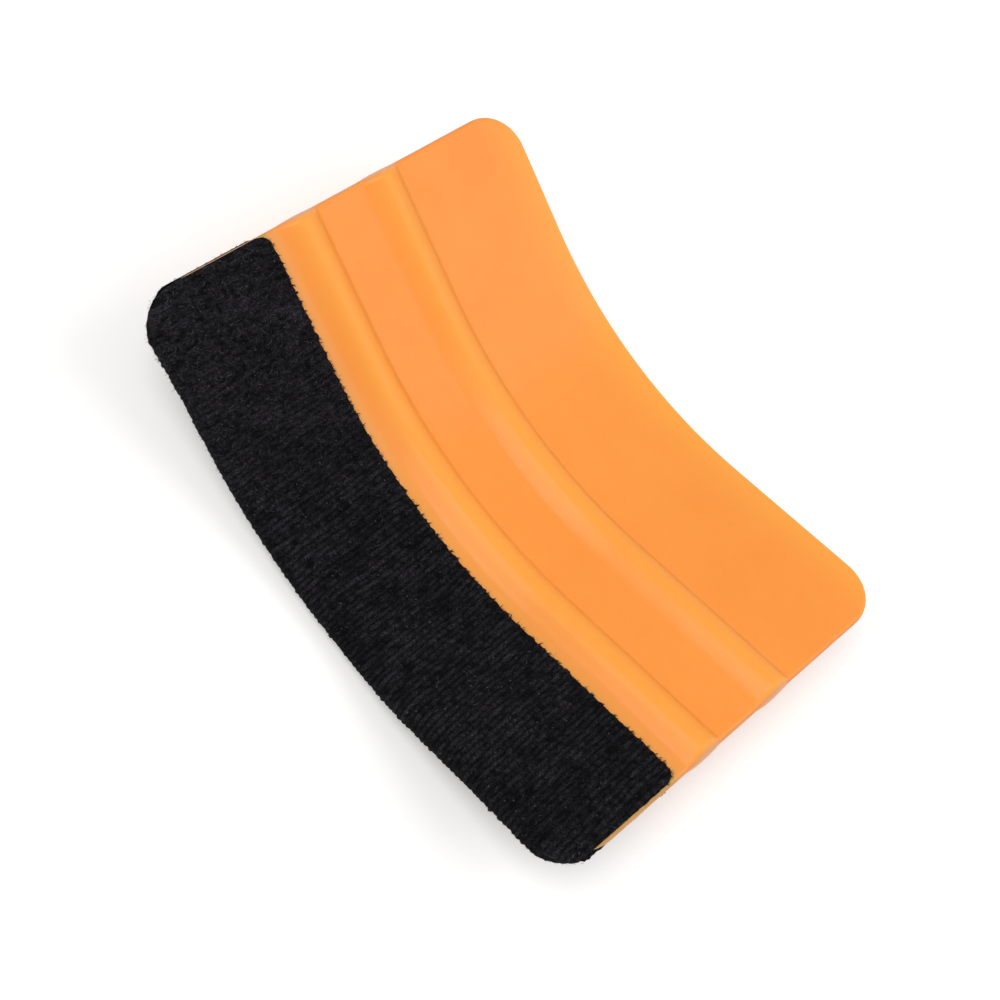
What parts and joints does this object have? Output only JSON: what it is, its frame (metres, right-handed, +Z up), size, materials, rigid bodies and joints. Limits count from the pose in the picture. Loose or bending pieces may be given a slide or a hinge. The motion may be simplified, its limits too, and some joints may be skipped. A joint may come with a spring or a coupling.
{
  "type": "squeegee applicator",
  "caption": "Flexible plastic applicator card with grip ridges on both faces and a black felt strip folded over one long edge, flexed into a shallow hollow.",
  "frame": {"origin": "centre of the bottom of the bounding box, under the back ridges on which the flexed card lies balanced", "axes": "+X along the card, +Y across it from the felt edge to the blade edge, +Z up out of the hollow face"},
  "size_m": [0.0968, 0.0708, 0.0201],
  "materials": {
    "card_plastic": "satin, slightly translucent orange",
    "adhesive": "clear amber pressure-sensitive film",
    "felt": "black ribbed felt"
  },
  "bodies": {
    "root": {"card": "card_plastic", "felt_adhesive": "adhesive", "felt_strip": "felt"}
  },
  "joints": []
}
